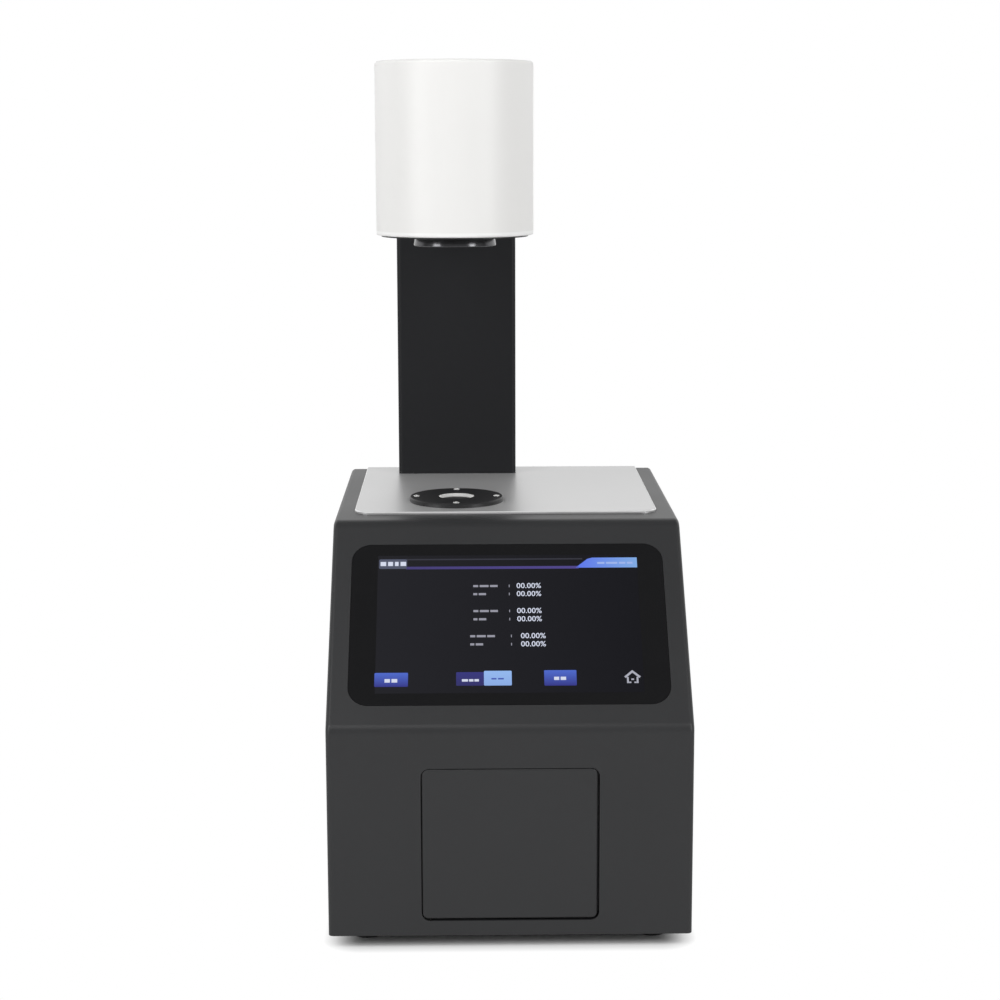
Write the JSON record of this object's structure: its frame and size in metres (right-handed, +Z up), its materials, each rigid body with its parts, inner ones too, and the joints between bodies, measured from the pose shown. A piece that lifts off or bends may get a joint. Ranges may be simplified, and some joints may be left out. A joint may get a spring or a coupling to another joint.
{
  "type": "haze meter",
  "caption": "Bench haze meter with a sloped display, a flush accessory door, a top sample port over an integrating sphere, and a light source head on a column.",
  "frame": {"origin": "on the bench, at the centre of the casing's footprint", "axes": "+X to the right seen from the front, +Y to the back, +Z up"},
  "size_m": [0.215, 0.31, 0.5195],
  "materials": {
    "casing_plastic": "satin charcoal",
    "door_plastic": "satin charcoal",
    "bin_plastic": "matte dark grey",
    "black_sheet": "powder coated",
    "deck_steel": "satin with a bright bevel",
    "black_anodised": "black anodised",
    "column_black": "satin black",
    "white_diffuser": "matte white",
    "sphere_alloy": "machined, white inside",
    "bare_steel": "bare",
    "zinc_steel": "zinc plated",
    "bright_screw": "bright",
    "black_screw": "blackened",
    "nose_chrome": "polished",
    "cover_white": "smooth white",
    "heat_alloy": "plain",
    "lens_glass": "clear",
    "cover_glass": "gloss black",
    "lcd_screen": "lit screen",
    "board_green": "solder mask",
    "foot_rubber": "matte",
    "inlet_black": "matte",
    "rocker_black": "gloss"
  },
  "bodies": {
    "meter": {"casing": "casing_plastic", "compartment_bin": "bin_plastic", "latch_body": "bin_plastic", "base_plate": "black_sheet", "rear_panel": "black_sheet", "deck_plate": "deck_steel", "port_flange": "black_anodised", "head_base": "black_anodised", "light_trap": "black_anodised", "detector_module": "black_anodised", "aperture_plate": "black_anodised", "column": "column_black", "column_cap": "column_black", "head_arm": "column_black", "port_ring": "white_diffuser", "sphere_upper": "sphere_alloy", "sphere_lower": "sphere_alloy", "column_foot": "heat_alloy", "heat_sink": "heat_alloy", "sphere_stand": "zinc_steel", "motor_bracket": "zinc_steel", "display_bracket": "zinc_steel", "backing_plate": "zinc_steel", "cover_posts": "zinc_steel", "power_supply": "zinc_steel", "paddle_motor": "bare_steel", "board_standoffs": "bare_steel", "usb_port": "bare_steel", "port_screws": "bright_screw", "foot_screws": "black_screw", "rear_panel_screws": "black_screw", "sphere_clamp_screws": "black_screw", "column_screws": "black_screw", "arm_screws": "black_screw", "cover_screws": "bright_screw", "lens_barrel": "nose_chrome", "head_cover": "cover_white", "collimating_lens": "lens_glass", "display_glass": "cover_glass", "lcd_panel": "lcd_screen", "detector_board": "board_green", "display_board": "board_green", "main_board": "board_green", "led_board": "board_green", "feet": "foot_rubber", "power_inlet": "inlet_black", "switch_frame": "inlet_black"},
    "door": {"door": "door_plastic", "hinge_pins": "bare_steel", "strike_plate": "bare_steel"},
    "plunger": {"latch_plunger": "bin_plastic"},
    "rocker": {"power_rocker": "rocker_black"},
    "paddle": {"reference_paddle": "white_diffuser"}
  },
  "joints": [
    {"name": "door_hinge", "type": "hinge", "parent": "meter", "child": "door", "pos_m": [-0.04725, -0.1535, 0.0635], "axis": [0, 0, -1], "range_deg": [0, 100]},
    {"name": "latch_press", "type": "slide", "parent": "meter", "child": "plunger", "axis": [0, 1, 0], "range_m": [0, 0.003], "stiffness_N_per_m": 200, "springref_m": -0.004},
    {"name": "rocker_tilt", "type": "hinge", "parent": "meter", "child": "rocker", "pos_m": [0.04, 0.148, 0.072], "axis": [1, 0, 0], "range_deg": [0, 20]},
    {"name": "paddle_swing", "type": "hinge", "parent": "meter", "child": "paddle", "pos_m": [0.0065, 0.0138, 0.118], "axis": [0, 0, -1], "range_deg": [0, 70]}
  ]
}
